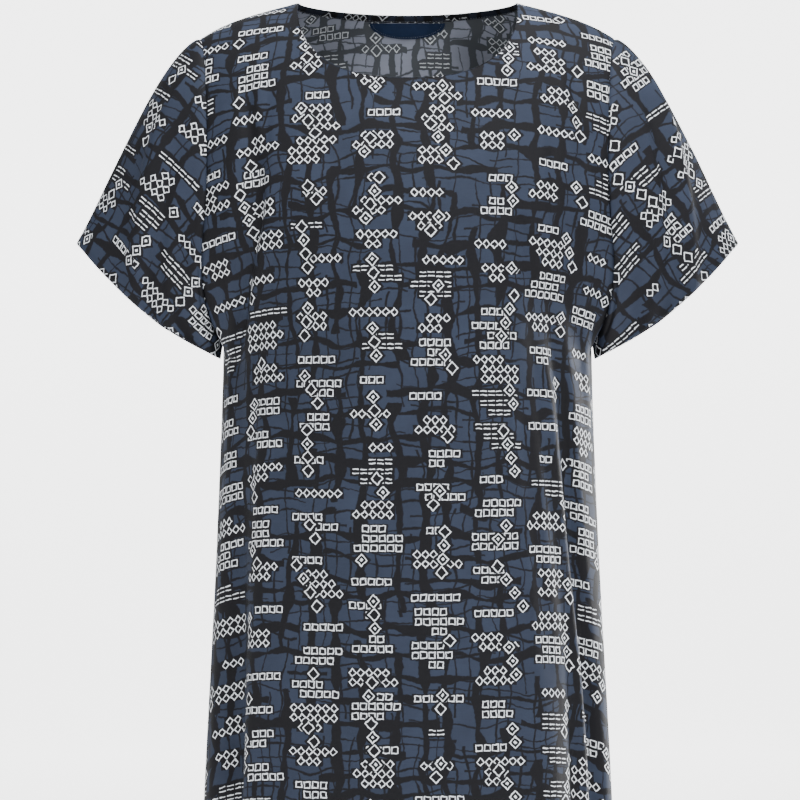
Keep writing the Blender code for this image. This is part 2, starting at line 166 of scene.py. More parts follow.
# Creases that only the cloth has: first the main ones, then finer ones.
FRONT_CREASES = folds(
    (0.07, 0.26, -69, -60, 6, -0.0036), (0.19, 0.4, -59, -68, 6, -0.0036),
    (0.26, 1.75, -49, -47, 7, 0.0028), (0.3, 1.75, -61, -58, 7, -0.0046),
    (0.34, 1.75, -71, -69, 6, 0.0022), (0.06, 0.2, 70, 76, 5, -0.0026), (0.19, 0.42, 40, 50, 6, -0.0032),
    (0.2, 0.95, 45, 64, 6, 0.0044), (0.62, 1.8, 61, 65, 6, 0.0056), (0.22, 0.95, 54, 68, 6, -0.0052),
    (0.64, 1.8, 67, 69, 6, -0.0052), (0.06, 0.3, -57, -61, 5, -0.0016),
    (0.13, 0.52, -74, -72, 5, 0.0018), (0.26, 0.6, -52, -56, 5, -0.0013),
    (0.08, 0.29, 60, 57, 5, -0.0014), (0.16, 0.5, 73, 74, 5, 0.0016), (0.2, 0.46, 50, 53, 4, -0.0018),
    (0.31, 0.78, 36, 45, 5, -0.0014), (0.52, 1.7, 51, 54, 4, 0.0018), (0.58, 1.7, 66, 69, 4, -0.002),
    (0.56, 1.7, -51, -49, 5, 0.0017), (0.8, 1.8, -32, -33, 6, -0.0015), (0.86, 1.8, -10, -12, 6, 0.0013),
    (0.83, 1.8, 11, 12, 6, -0.0012), (0.78, 1.8, 31, 33, 5, 0.0015), (0.1, 0.24, -24, -27, 9, -0.0008),
    (0.11, 0.27, 22, 26, 9, -0.0009),
)
BACK_CREASES = folds(
    (0.07, 0.34, -66, -62, 6, -0.0032), (0.08, 0.36, 63, 66, 6, -0.0034),
    (0.3, 1.75, -60, -58, 7, -0.004), (0.32, 1.75, 59, 60, 7, -0.0042),
    (0.28, 1.75, -48, -49, 6, 0.0024), (0.24, 1.7, -14, -18, 7, -0.0034), (0.28, 1.7, 8, 4, 7, 0.003),
    (0.3, 1.7, 28, 25, 7, -0.0034), (0.34, 1.7, 45, 43, 6, 0.0026), (0.05, 0.34, -56, -60, 5, -0.0016),
    (0.12, 0.52, -74, -73, 5, 0.0018), (0.06, 0.32, 57, 60, 5, -0.0017), (0.14, 0.5, 74, 74, 5, 0.0016),
    (0.22, 0.8, -49, -51, 5, -0.0018), (0.2, 0.75, 50, 52, 5, -0.0017), (0.34, 1.7, -27, -29, 5, 0.0017),
    (0.3, 1.7, -3, -6, 5, -0.0016), (0.36, 1.7, 17, 14, 5, 0.0018), (0.42, 1.7, 37, 36, 5, -0.0016),
    (0.46, 1.7, -67, -68, 4, -0.0019), (0.44, 1.7, 67, 68, 4, -0.002),
    (0.04, 0.17, -12, -20, 10, -0.001), (0.04, 0.19, 13, 19, 10, -0.0009),
)
RIGHT_SLEEVE_CREASES = folds(
    (0.02, 1.35, 32, 98, 12, 0.0034), (0.05, 1.35, 56, 122, 13, -0.0038),
    (0.1, 1.35, 292, 240, 13, -0.0032), (0.02, 0.8, 22, 60, 14, -0.0018),
    (0.18, 1.2, 66, 92, 11, 0.0016), (0.04, 0.55, 118, 152, 10, -0.0013), (0.4, 1.4, 12, 20, 13, 0.0014),
    (0.1, 0.9, 300, 262, 14, -0.0016), (0.3, 1.3, 218, 206, 13, 0.0014),
)
LEFT_SLEEVE_CREASES = folds(
    (0.04, 1.35, 10, 92, 12, 0.0034), (0.07, 1.35, 34, 116, 13, -0.0036),
    (0.12, 1.35, 296, 244, 13, -0.0032), (0.03, 0.75, 28, 64, 13, -0.0017),
    (0.22, 1.2, 74, 96, 10, 0.0015), (0.05, 0.6, 122, 150, 11, -0.0013), (0.36, 1.4, 8, 22, 13, 0.0013),
    (0.08, 0.85, 304, 266, 14, -0.0017), (0.28, 1.3, 214, 202, 13, 0.0013),
)
PANEL_FOLDS = {FRONT: FRONT_FOLDS, BACK: BACK_FOLDS}
PANEL_CREASES = {FRONT: FRONT_CREASES, BACK: BACK_CREASES}
SLEEVE_FOLDS = {-1: RIGHT_SLEEVE_FOLDS, 1: LEFT_SLEEVE_FOLDS}
SLEEVE_CREASES = {-1: RIGHT_SLEEVE_CREASES, 1: LEFT_SLEEVE_CREASES}

# How finely the cloth is divided.

PANEL_COLUMNS = 132
SKIRT_ROWS = 96
CHEST_ROWS = 52
SLEEVE_ROWS = 40
CAP_CLOSENESS = 0.6
BESIDE_SEAM = (0.003, 0.0065, 0.011, 0.018)
BESIDE_RIDGE = (0.5, 1.1, 2.0)
HEM_ROWS = 6
FOLD_ROWS = 3
NECK_STEPS = 96
PATCH_RINGS = 12
PATCH_STEPS = 48

RIM_ANGLE = math.radians(50.0)

# From the centre to where the cloth starts to droop, on to the side seam, and down from the shoulder.
DROOP_START = 0.12
DROOP_REACH = 0.17
DROOP_FADE = 0.15

# The allowances start this far before their seam, at the third column or row beside it.
SEAM_OVERLAP = 0.003
SEAM_LEAD = [3, 2, 1]

# The column of a panel's grid that lies on the armhole.
ARMHOLE_COLUMN = {-1: 0, 1: -1}

# How the cloth is sewn, in metres. A gap in a hem is in thicknesses of the cloth.
GROOVE_REACH = 0.0020
RIPPLE_REACH = 0.010
RIPPLE_LENGTHS = (0.0087, 0.0131, 0.0214)
CREASE_ROUNDING = 0.05
HEM_GAP = 2.2
NECK_TRIM = 0.0004
THREAD_SINK = 0.3
PATCH_STITCH = 0.0018
ALLOWANCE_STITCH = 0.0030

# The block that cuts the neck: up to, out to, and past the centre plane.
CUTTER_TOP = 0.2
CUTTER_DEPTH = 0.3
CUTTER_OVERLAP = 0.02

# The weave and the print. Pitches and line sizes are in millimetres, and relief and ply in metres.
WARP_PITCH = 0.55
WEFT_PITCH = 0.50
THREAD_RELIEF = 0.00008
THREAD_PLY = 0.0006
LINE_WAVER = 34.0
LINE_STRETCH = 43.0
EDGE_FUZZ = 2.4
# Share of the print's colours kept on the neck facing and the seam allowances: painted shade, a darkened copy
# of the outside print.
PAINTED_SHADE_SHARE = 0.45

# The stage, in metres. A light's power is a share of the key's or the fill's.
FLOOR_GAP = 0.12
FLOOR_REACH = 8.4
WALL_PLACE = 6.0
WALL_BEND = 1.5
WALL_REACH = 2.1
SKY_STRENGTH = 0.70
CAMERA_SIDE = -0.008
CAMERA_HEIGHT = -0.4219
CHEST = (CAMERA_SIDE, 0.0, -0.45)
Light = namedtuple("Light", "name power share place aim size")
LIGHTS = (
    Light("key", "key", 1.0, (1.7, -2.1, 1.1), CHEST, 1.1),
    Light("fill", "fill", 1.0, (-1.9, -2.4, 0.1), CHEST, 1.8),
    Light("edge", "key", 1.6, (1.6, 0.9, -0.6), (0.1, 0.0, -0.6), 0.8),
    Light("top", "key", 1.6, (0.25, -0.5, 1.4), (0.0, 0.0, -0.15), 0.9),
)


# What a user may change.


def length(name, default, description):
    return FloatProperty(name=name, description=description, default=default, unit="LENGTH")


def colour(name, default, description):
    return FloatVectorProperty(
        name=name, description=description, default=default, subtype="COLOR", size=3, min=0.0, max=1.0
    )


class DressSizes(bpy.types.PropertyGroup):
    """Sizes of the dress's finish."""

    cloth_thickness: length("Cloth thickness", 0.0007, "Thickness of one layer of cloth")
    skirt_turn_up: length("Skirt turn-up", 0.025, "Depth of the skirt's hem")
    sleeve_turn_up: length("Sleeve turn-up", 0.017, "Depth of a sleeve's hem")
    facing_width: length("Facing width", 0.0073, "Width of the strip inside the neck")
    allowance: length("Seam allowance", 0.009, "Width of the cloth inside a seam")
    seam_groove: length("Seam groove", 0.0004, "How far a seam pulls the cloth in")
    pucker: length("Pucker", 0.00022, "Height of the ripples beside a seam")
    stitch_length: length("Stitch length", 0.0026, "Length of one stitch")
    stitch_gap: length("Stitch gap", 0.0007, "Space between two stitches")
    thread_thickness: length("Thread thickness", 0.00035, "Thickness of the sewing thread")
    side_droop: length("Side droop", 0.034, "How far the print sinks towards the side seams")
    crease_strength: FloatProperty(
        name="Crease strength", description="Share of the fine creases' height", default=1.5, min=0.0, max=2.0
    )


class DressPrint(bpy.types.PropertyGroup):
    """Colours and sizes of the dress's print."""

    ground: colour("Ground", (0.0135, 0.0180, 0.0305), "Slate blue between the lines")
    dark: colour("Dark", (0.0040, 0.0041, 0.0052), "Near-black of the lines")
    light: colour("Light", (0.45, 0.47, 0.50), "Off-white of the motifs")
    inside_ground: colour("Inside ground", (0.140, 0.151, 0.188), "Ground on the wrong side")
    inside_dark: colour("Inside dark", (0.040, 0.044, 0.050), "Lines on the wrong side")
    inside_light: colour("Inside light", (0.34, 0.36, 0.38), "Motifs on the wrong side")
    navy: colour("Navy", (0.0040, 0.0095, 0.0260), "Plain cloth of the patch")
    thread: colour("Thread", (0.022, 0.026, 0.040), "Sewing thread")
    line_spacing: FloatProperty(
        name="Line spacing", description="Between the check's upright lines, in millimetres", default=29.0
    )
    motif_size: FloatProperty(
        name="Motif size", description="Between the small motifs, in millimetres", default=8.6
    )
    seed: IntProperty(name="Seed", description="Changes the places of lines and motifs", default=7)


class DressStage(bpy.types.PropertyGroup):
    """The stage that the dress is shown on."""

    backdrop: colour("Backdrop", (0.90, 0.90, 0.90), "Colour of the floor and backdrop")
    key_power: FloatProperty(
        name="Key light", description="Power of the main light", default=64.0, unit="POWER"
    )
    fill_power: FloatProperty(
        name="Fill light", description="Power of the light on the shaded side", default=42.0, unit="POWER"
    )
    field: length("Field", 0.851, "Height of the picture at the dress")
    distance: length("Distance", 3.3, "From the camera to the dress")


# Helpers.


def rise(share):
    """Smooth step from 0 to 1."""
    share = np.clip(share, 0.0, 1.0)
    return share * share * (3.0 - 2.0 * share)


def smooth_through(table, key, column):
    """A function on the smooth curve through one column of a table."""
    at = np.array([getattr(row, key) for row in table], float)
    values = np.array([getattr(row, column) for row in table], float)
    slopes = np.gradient(values, at)

    def read(position):
        position = np.clip(position, at[0], at[-1])
        low = np.clip(np.searchsorted(at, position) - 1, 0, len(at) - 2)
        width = at[low + 1] - at[low]
        t = (position - at[low]) / width
        ends = values[low] * (1 + 2 * t) * (1 - t) ** 2 + values[low + 1] * t * t * (3 - 2 * t)
        return ends + width * t * (1 - t) * (slopes[low] * (1 - t) - slopes[low + 1] * t)

    return read


half_width = smooth_through(SECTIONS, "drop", "half_width")
body_depth = {
    FRONT: smooth_through(SECTIONS, "drop", "front_depth"),
    BACK: smooth_through(SECTIONS, "drop", "back_depth"),
}
armhole_reach = smooth_through(ARMHOLE, "angle", "reach")


def fold_height(folds, turn, place):
    """How far the folds move the cloth out, at a turn in degrees and a place along them."""
    height = np.zeros(np.broadcast(turn, place).shape)
    for fold in folds:
        along = np.clip((place - fold.start) / (fold.end - fold.start), 0.0, 1.0)
        strength = rise(along / FOLD_FADE) * rise((1.0 - along) / FOLD_FADE)
        centre = fold.start_turn + (fold.end_turn - fold.start_turn) * rise(along)
        across = np.clip(np.abs(turn - centre) / fold.half_width, 0.0, 1.0)
        height = height + fold.height * strength * (0.5 + 0.5 * np.cos(math.pi * across))
    return height


def unit(vectors):
    return vectors / np.maximum(np.linalg.norm(vectors, axis=-1, keepdims=True), 1e-12)


def grid_normals(points, side, closed=False):
    """Normals of a grid of points. Side is 1 where columns, then rows, turn by the right-hand rule."""
    if closed:
        across = np.roll(points, -1, axis=1) - np.roll(points, 1, axis=1)
    else:
        across = np.gradient(points, axis=1)
    return side * unit(np.cross(across, np.gradient(points, axis=0)))


def running_length(points, axis):
    """Distance run along each line of a grid, from its start."""
    steps = np.linalg.norm(np.diff(points, axis=axis), axis=-1)
    start = np.zeros_like(np.take(steps, [0], axis=axis))
    return np.concatenate([start, np.cumsum(steps, axis=axis)], axis=axis)


# The form of the dress.


def panel_shares():
    """Columns across a panel, from -1 at the wearer's right edge to 1 at the left, closer beside the seams."""
    inner = np.linspace(-1.0, 1.0, PANEL_COLUMNS + 1)
    beside = 1.0 - np.array(BESIDE_SEAM)
    kept = inner[np.abs(inner) < beside[-1]]
    return np.sort(np.concatenate([kept, beside, -beside, [-1.0, 1.0]]))


def armhole_angles():
    """From the underarm, at 180 degrees, to the shoulder tip, closer beside the ridge."""
    even = np.linspace(180.0, 0.0, CHEST_ROWS + 1)[:-1]
    return np.concatenate([even[even > BESIDE_RIDGE[-1]], BESIDE_RIDGE[::-1], [0.0]])


def shoulder_line(share):
    """Distance from the centre plane and height of the shoulder ridge. It runs on up over the open neck."""
    neck_part = np.clip(share / NECK_SHARE, 0.0, 1.0)
    shoulder_part = np.clip((share - NECK_SHARE) / (1.0 - NECK_SHARE), 0.0, 1.0)
    reach = NECK_HALF_WIDTH * neck_part + (SHOULDER_HALF_WIDTH - NECK_HALF_WIDTH) * shoulder_part
    fall = SHOULDER_SLOPE_DROP * shoulder_part + SHOULDER_ROUND_DROP * shoulder_part**4
    return reach, NECK_RISE * (1.0 - neck_part) - fall


def fold_out(side, share, x, y, z):
    """Stacks the points of a panel, moved out by its folds."""
    across = x / half_width(-z) ** 2
    forward = y / body_depth[side](-z) ** 2
    length = np.hypot(across, forward) + 1e-9
    _, ridge = shoulder_line(np.abs(share))
    clear_of_ridge = rise((ridge - z) / SHOULDER_ROUNDING)
    height = fold_height(PANEL_FOLDS[side], 90.0 * share, -z) * clear_of_ridge
    return np.stack([x + height * across / length, y + height * forward / length, z], axis=-1)


def skirt_rows(side, share):
    """Level sections of one panel, from the hem up to just under the armhole."""
    drop = np.linspace(LENGTH, UNDERARM_DROP, SKIRT_ROWS + 1)[:-1, None]
    dip = UNDERARM_DIP * (1.0 - np.abs(share) ** DIP_FLATNESS)
    z = -(drop + dip * rise((DIP_END_DROP - drop) / (DIP_END_DROP - UNDERARM_DROP)))
    turn = share * math.pi / 2
    x = half_width(-z) * np.sin(turn)
    y = side * body_depth[side](-z) * np.cos(turn)
    return fold_out(side, share, x, y, z)


def chest_rows(side, share):
    """Sections of one panel from the underarm to the shoulder, each ending on the armhole."""
    angle = np.radians(armhole_angles())[:, None]
    lowered = (1.0 - np.cos(angle)) / 2.0
    out = np.abs(share)
    ridge_reach, ridge = shoulder_line(out)
    floor = -(UNDERARM_DROP + UNDERARM_DIP * (1.0 - out**DIP_FLATNESS))
    z = ridge + (floor - ridge) * lowered

    slow = rise(2.0 * (1.0 - lowered))
    beside_armhole = out**ARMHOLE_CLOSENESS
    opened = slow + (np.sin(angle) - slow) * beside_armhole
    edge_depth = ARMHOLE_DEPTHS[side] * np.where(angle > math.pi / 2, opened, 1.0)
    edge_drop = SHOULDER_DROP + (UNDERARM_DROP - SHOULDER_DROP) * lowered
    edge_turn = np.arccos(edge_depth / body_depth[side](edge_drop))
    reached = slow + (1.0 - slow) * beside_armhole
    reach = half_width(-z) + (armhole_reach(np.degrees(angle)) - half_width(-z)) * reached
    x = reach * np.sin(edge_turn * out) / np.sin(edge_turn)
    x = x + (ridge_reach - x[-1:]) * rise(1.0 - angle / SHOULDER_BLEND_ANGLE)

    armhole_rounding = (UNDERARM_DROP - SHOULDER_DROP) / 2.0
    beyond_neck = np.clip((out - NECK_SHARE) / (1.0 - NECK_SHARE), 0.0, 1.0)
    rounding = SHOULDER_ROUNDING + (armhole_rounding - SHOULDER_ROUNDING) * beyond_neck
    below_ridge = np.clip((ridge - z) / rounding, 0.0, 1.0)
    y = side * body_depth[side](-z) * np.cos(edge_turn * out) * np.sqrt(1.0 - (1.0 - below_ridge) ** 2)
    return fold_out(side, share, np.sign(share) * x, y, z)


def panel_points(side):
    share = panel_shares()
    return np.concatenate([skirt_rows(side, share), chest_rows(side, share)])


def armhole_loop(front, back, column):
    """Points round an armhole: from the shoulder tip down the front edge and up the back edge."""
    down = front[SKIRT_ROWS:, column][::-1]
    up = back[SKIRT_ROWS:, column]
    return np.concatenate([down, up[1:-1]])


def bare_armhole(hand):
    """The armhole that a sleeve starts from, on the panels without their creases."""
    return armhole_loop(panel_points(FRONT), panel_points(BACK), ARMHOLE_COLUMN[hand])


def sleeve_turns():
    down = armhole_angles()[::-1]
    return np.concatenate([down, 360.0 - down[-2:0:-1]])


def sleeve_points(hand, crease_strength):
    """Rings of a sleeve from the armhole to its hem."""
    mirror = np.array([hand, 1.0, 1.0])
    start = bare_armhole(hand) * mirror
    turn = sleeve_turns()[None, :]
    cos = np.cos(np.radians(turn))[..., None]
    sin = np.sin(np.radians(turn))[..., None]
    closeness = 1.0 + CAP_CLOSENESS * (0.5 + 0.5 * cos)
    along = (np.arange(SLEEVE_ROWS + 1) / SLEEVE_ROWS)[:, None, None] ** closeness

    tip = np.array([SLEEVE_TIP[0], 0.0, -SLEEVE_TIP[1]])
    inner = np.array([SLEEVE_INNER[0], 0.0, -SLEEVE_INNER[1]])
    half_hem = (tip - inner) / 2.0
    down_sleeve = unit(np.array([half_hem[2], 0.0, -half_hem[0]]))
    top_line = tip - start[0]
    over_top = unit(np.array([-top_line[2], 0.0, top_line[0]]))
    forward = np.array([0.0, -1.0, 0.0])
    depth = np.where(sin > 0, SLEEVE_FRONT_DEPTH, SLEEVE_BACK_DEPTH)
    bow = np.where(sin > 0, SLEEVE_FRONT_BOW, SLEEVE_BACK_BOW)
    hem = (tip + inner) / 2.0 + cos * half_hem + sin * depth * forward + sin * sin * bow * down_sleeve

    peak = SWELL_START / (SWELL_START + SWELL_END)
    swell = (along / peak) ** SWELL_START * ((1.0 - along) / (1.0 - peak)) ** SWELL_END
    amount = SLEEVE_TOP_BULGE * np.clip(cos, 0, 1) ** 2 + SLEEVE_SIDE_BULGE * np.abs(sin)
    place = along[..., 0]
    height = fold_height(SLEEVE_FOLDS[hand], turn, place)
    height = height + crease_strength * fold_height(SLEEVE_CREASES[hand], turn, place)
    outward = unit(cos * over_top + sin * forward)
    points = start * (1.0 - along) + hem * along + outward * (amount * swell + height[..., None])
    return points * mirror


def neck_curve(edge, margin=0.0):
    """A neckline in the front view, from the wearer's left neck point down and up to the right one."""
    angles = np.linspace(0.0, math.pi, NECK_STEPS + 1)
    sideways = np.sign(np.cos(angles)) * np.abs(np.cos(angles)) ** edge.side_power
    x = (NECK_HALF_WIDTH + margin) * sideways
    z = -(edge.drop + margin) * np.abs(np.sin(angles)) ** edge.base_power
    return np.stack([x, z], axis=-1)


# Finish of the form: grooves and ripples at the seams, and turned-up hems.


def along_surface(grid, distances, values=None):
    """Points, or the values given for them, at some distances from a grid's first row down its columns."""
    run = running_length(grid, 0)
    values = grid if values is None else values
    rows = np.empty((len(distances),) + grid.shape[1:])
    for column in range(grid.shape[1]):
        for axis in range(3):
            rows[:, column, axis] = np.interp(distances, run[:, column], values[:, column, axis])
    return rows


def ripples(length, seed):
    """Uneven waves along a seam, between -1 and 1."""
    waves = enumerate(RIPPLE_LENGTHS)
    return sum(np.sin(2 * math.pi * length / wave + seed * 1.7 * (n + 1)) for n, wave in waves) / 3.0


def beside_seam(points, normals, distance, along, sizes, seed):
    """Pulls the cloth in at a seam and lets it ripple beside it."""
    groove = -sizes.seam_groove * np.exp(-((distance / GROOVE_REACH) ** 2))
    wave = sizes.pucker * ripples(along, seed) * np.exp(-((distance / RIPPLE_REACH) ** 2))
    return points + normals * (groove + wave)[..., None]


def finished_panel(side, sizes):
    """Points of a panel with its creases and seams, without its hem's turn-up."""
    points = panel_points(side)
    normals = grid_normals(points, -side)
    share = panel_shares()[None, :]
    _, ridge = shoulder_line(np.abs(share))
    clear_of_ridge = rise((ridge - points[..., 2]) / CREASE_ROUNDING)
    height = fold_height(PANEL_CREASES[side], 90.0 * share, -points[..., 2]) * clear_of_ridge
    points = points + normals * (sizes.crease_strength * height)[..., None]

    from_edge = running_length(points, 1)
    down_edge = running_length(points, 0)
    for number, distance in enumerate((from_edge, from_edge[:, -1:] - from_edge)):
        points = beside_seam(points, normals, distance, down_edge, sizes, number + 3 * side)
    on_shoulder = (np.abs(share) >= NECK_SHARE - 0.02) & np.ones_like(from_edge, bool)
    from_top = np.where(on_shoulder, down_edge[-1:] - down_edge, 1.0)
    return beside_seam(points, normals, from_top, from_edge, sizes, 5 + side)


def finished_sleeve(hand, sizes):
    """Points of a sleeve with its creases and its seam, without its hem's turn-up."""
    points = sleeve_points(hand, sizes.crease_strength)
    normals = grid_normals(points, hand, closed=True)
    ring = running_length(points[:1], 1)
    return beside_seam(points, normals, running_length(points, 0), ring, sizes, 9 + hand)


def with_turn_up(points, normals, depth, gap, at_end):
    """Adds a hem that is folded up inside. The hem is the grid's last row, or its first one."""
    if not at_end:
        points, normals = points[::-1], normals[::-1]
    edge, edge_normals = points[-1], normals[-1]
    down = unit(points[-1] - points[-3])
    fold = []
    for angle in np.linspace(0.0, math.pi, FOLD_ROWS + 2)[1:-1]:
        fold.append(edge - edge_normals * gap * (1 - math.cos(angle)) / 2 + down * gap * math.sin(angle) / 2)
    inside = points[::-1] - normals[::-1] * gap
    turned = along_surface(points[::-1], np.linspace(0.0, depth, HEM_ROWS + 1), inside)
    points = np.concatenate([points, fold, turned])
    return points if at_end else points[::-1]


# Meshes.


def link(name, data):
    """A new object in the scene."""
    obj = bpy.data.objects.new(name, data)
    bpy.context.scene.collection.objects.link(obj)
    return obj


def grid_mesh(name, points, flip, uv=None, closed=False):
    """A sheet of quads through a grid of points, with its cloth coordinates if they are known already."""
    rows, columns = points.shape[:2]
    span = columns if closed else columns - 1
    row, column = np.meshgrid(np.arange(rows - 1), np.arange(span), indexing="ij")
    beside = (column + 1) % columns
    low, low_beside = row * columns + column, row * columns + beside
    corners = [low, low_beside, low_beside + columns, low + columns]
    faces = np.stack(corners[::-1] if flip else corners, axis=-1).reshape(-1, 4)
    mesh = bpy.data.meshes.new(name)
    mesh.from_pydata(points.reshape(-1, 3).tolist(), [], faces.tolist())
    layer = mesh.uv_layers.new(name=CLOTH_UV)
    if uv is not None:
        flat = np.reshape(uv, (-1, 2))[faces.reshape(-1)]
        layer.data.foreach_set("uv", flat.astype(np.float32).ravel())
    mesh.shade_smooth()
    return mesh


def settled(obj):
    """Applies an object's modifiers, with rims kept crisp."""
    bpy.context.view_layer.update()
    graph = bpy.context.evaluated_depsgraph_get()
    made = obj.evaluated_get(graph)
    mesh = bpy.data.meshes.new_from_object(made, preserve_all_data_layers=True, depsgraph=graph)
    obj.modifiers.clear()
    old = obj.data
    obj.data = mesh
    bpy.data.meshes.remove(old)
    mesh.shade_smooth()
    mesh.set_sharp_from_angle(angle=RIM_ANGLE)
    return obj


def add_wall(obj, thickness, outside, inside="printed_inside"):
    """Gives a surface its thickness, inwards, and the finishes of its two sides."""
    obj.data.materials.append(finish(outside))
    wall = obj.modifiers.new("wall", "SOLIDIFY")
    wall.thickness = thickness
    wall.offset = -1.0
    if inside:
        obj.data.materials.append(finish(inside))
        wall.material_offset = 1
    return obj


def neck_cutter(side):
    """A closed block over the neck opening, in front of the centre plane or behind it."""
    curve = neck_curve(NECK_EDGES[side], -NECK_TRIM)
    outline = np.concatenate([[[curve[0, 0], CUTTER_TOP]], curve, [[curve[-1, 0], CUTTER_TOP]]])
    start, end = (-CUTTER_DEPTH, CUTTER_OVERLAP) if side == FRONT else (-CUTTER_OVERLAP, CUTTER_DEPTH)
    shape = bmesh.new()
    base = shape.faces.new([shape.verts.new((x, start, z)) for x, z in outline.tolist()])
    pushed = bmesh.ops.extrude_face_region(shape, geom=[base])
    moved = [part for part in pushed["geom"] if isinstance(part, bmesh.types.BMVert)]
    bmesh.ops.translate(shape, verts=moved, vec=(0.0, end - start, 0.0))
    bmesh.ops.recalc_face_normals(shape, faces=shape.faces)
    mesh = bpy.data.meshes.new("neck_cutter")
    shape.to_mesh(mesh)
    shape.free()
    return link("neck_cutter", mesh)


def surface_reader(side):
    """A function from a place in the front view to the bare panel's point and outward normal there."""
    mesh = grid_mesh("reader", panel_points(side), side == BACK)
    tree = BVHTree.FromPolygons([v.co for v in mesh.vertices], [tuple(p.vertices) for p in mesh.polygons])
    bpy.data.meshes.remove(mesh)

    def read(x, z):
        place, normal, _, _ = tree.ray_cast(Vector((x, side * 1.0, z)), Vector((0.0, -side, 0.0)))
        if place is None:
            raise RuntimeError(f"no cloth at {x:.4f}, {z:.4f}")
        return np.array(place), np.array(normal) * (1.0 if normal.y * side > 0 else -1.0)

    return read


def lay_flat(obj, low, high, seam=None, droop=0.0):
    """Gives a piece the coordinates of its flat cut in metres, with vertex high straight above vertex low.

    Droop is how far the cloth has sunk at the sides of a panel, where it hangs on the bias.
    """
    mesh = obj.data
    if seam is not None:
        ends = np.empty(len(mesh.edges) * 2, np.int32)
        mesh.edges.foreach_get("vertices", ends)
        mesh.edges.foreach_set("use_seam", np.isin(ends.reshape(-1, 2), seam).all(axis=1))
    for other in bpy.context.selected_objects:
        other.select_set(False)
    bpy.context.view_layer.objects.active = obj
    obj.select_set(True)
    bpy.ops.object.mode_set(mode="EDIT")
    bpy.ops.mesh.select_all(action="SELECT")
    bpy.ops.uv.unwrap(method="MINIMUM_STRETCH", iterations=4, fill_holes=False, correct_aspect=False)
    bpy.ops.object.mode_set(mode="OBJECT")
    obj.select_set(False)

    layer = mesh.uv_layers[CLOTH_UV]
    flat = np.empty(len(mesh.loops) * 2, np.float32)
    layer.data.foreach_get("uv", flat)
    place = flat[0::2] + 1j * flat[1::2]
    corner = place.reshape(-1, 4)
    crossed = (np.conj(corner[:, 2] - corner[:, 0]) * (corner[:, 3] - corner[:, 1])).imag / 2.0
    if crossed.sum() < 0:
        place = -np.conj(place)
    at = np.empty(len(mesh.loops), np.int32)
    mesh.loops.foreach_get("vertex_index", at)
    start, end = place[np.argmax(at == low)], place[np.argmax(at == high)]
    scale = math.sqrt(sum(face.area for face in mesh.polygons) / abs(crossed.sum()))
    place = (place - start) * scale * 1j * abs(end - start) / (end - start)
    across, up = place.real, place.imag - LENGTH
    beyond = np.clip((np.abs(across) - DROOP_START) / DROOP_REACH, 0.0, None)
    flat[0::2], flat[1::2] = across, up + droop * beyond**2 * rise(-up / DROOP_FADE)
    layer.data.foreach_set("uv", flat)


# Materials.


def add_node(tree, kind, inputs=(), **settings):
    """Adds a node. An input is a plain value, or a reading, a socket or a node that it is linked to."""
    node = tree.nodes.new(kind)
    for name, value in settings.items():
        setattr(node, name, value)
    for key, value in dict(inputs).items():
        value = getattr(value, "socket", value)
        if isinstance(value, bpy.types.Node):
            value = value.outputs[0]
        if isinstance(value, bpy.types.NodeSocket):
            tree.links.new(value, node.inputs[key])
        else:
            node.inputs[key].default_value = value
    return node


class Reading:
    """A number or colour that a material works out at each place. Sums with readings add its nodes."""

    def __init__(self, tree, socket):
        self.tree, self.socket = tree, socket

    def node(self, kind, inputs, result=0, **settings):
        return Reading(self.tree, add_node(self.tree, kind, inputs, **settings).outputs[result])

    def maths(self, operation, *others, clamp=False):
        inputs = dict(enumerate((self, *others)))
        return self.node("ShaderNodeMath", inputs, operation=operation, use_clamp=clamp)

    def __add__(self, other):
        return self.maths("ADD", other)

    def __sub__(self, other):
        return self.maths("SUBTRACT", other)

    def __rsub__(self, other):
        return self.node("ShaderNodeMath", {0: other, 1: self}, operation="SUBTRACT")

    def __mul__(self, other):
        return self.maths("MULTIPLY", other)

    def __abs__(self):
        return self.maths("ABSOLUTE")

    def times_plus(self, factor, extra, clamp=False):
        return self.maths("MULTIPLY_ADD", factor, extra, clamp=clamp)

    def wave(self, length):
        return (self * (2 * math.pi / length)).maths("SINE")

    def count(self, size):
        """How many whole sizes fit in the reading."""
        return (self * (1.0 / size)).maths("FLOOR")

    def above(self, limit):
        """1 where the reading is above a limit, and 0 elsewhere."""
        return self.maths("GREATER_THAN", limit)

    def within(self, half, soft=0.25):
        """1 where the reading is under a half width, and 0 beyond it, with a soft edge."""
        return (half - self).times_plus(0.5 / soft, 0.5, clamp=True)

    def line_at(self, size, half):
        """1 on a line of a half width where the reading has a given size."""
        return abs(self - size).within(half)

    def chance(self, other, seed):
        """A random number from 0 to 1 for each pair of whole numbers."""
        pair = self.node("ShaderNodeCombineXYZ", {0: self + 0.5, 1: other + 0.5, 2: seed + 0.5})
        return self.node("ShaderNodeTexWhiteNoise", {"Vector": pair}, "Value", noise_dimensions="3D")

    def cloud(self, other, seed, detail=1.0):
        """Smooth noise from 0 to 1 over two readings."""
        pair = self.node("ShaderNodeCombineXYZ", {0: self, 1: other, 2: seed * 3.7})
        inputs = {"Vector": pair, "Scale": 1.0, "Detail": detail}
        return self.node("ShaderNodeTexNoise", inputs, "Fac", noise_dimensions="3D")

    def blend(self, first, second):
        """From one colour to another as the reading goes from 0 to 1."""
        inputs = {"Factor": self, "A": solid(first), "B": solid(second)}
        return self.node("ShaderNodeMix", inputs, "Result", data_type="RGBA")

    def brighten(self, colour):
        """A colour, made as bright as the reading says."""
        return self.node("ShaderNodeHueSaturation", {"Value": self, "Color": solid(colour)}, "Color")


def solid(colour):
    """A colour as a socket takes it."""
    return colour if isinstance(colour, Reading) else (*colour, 1.0)


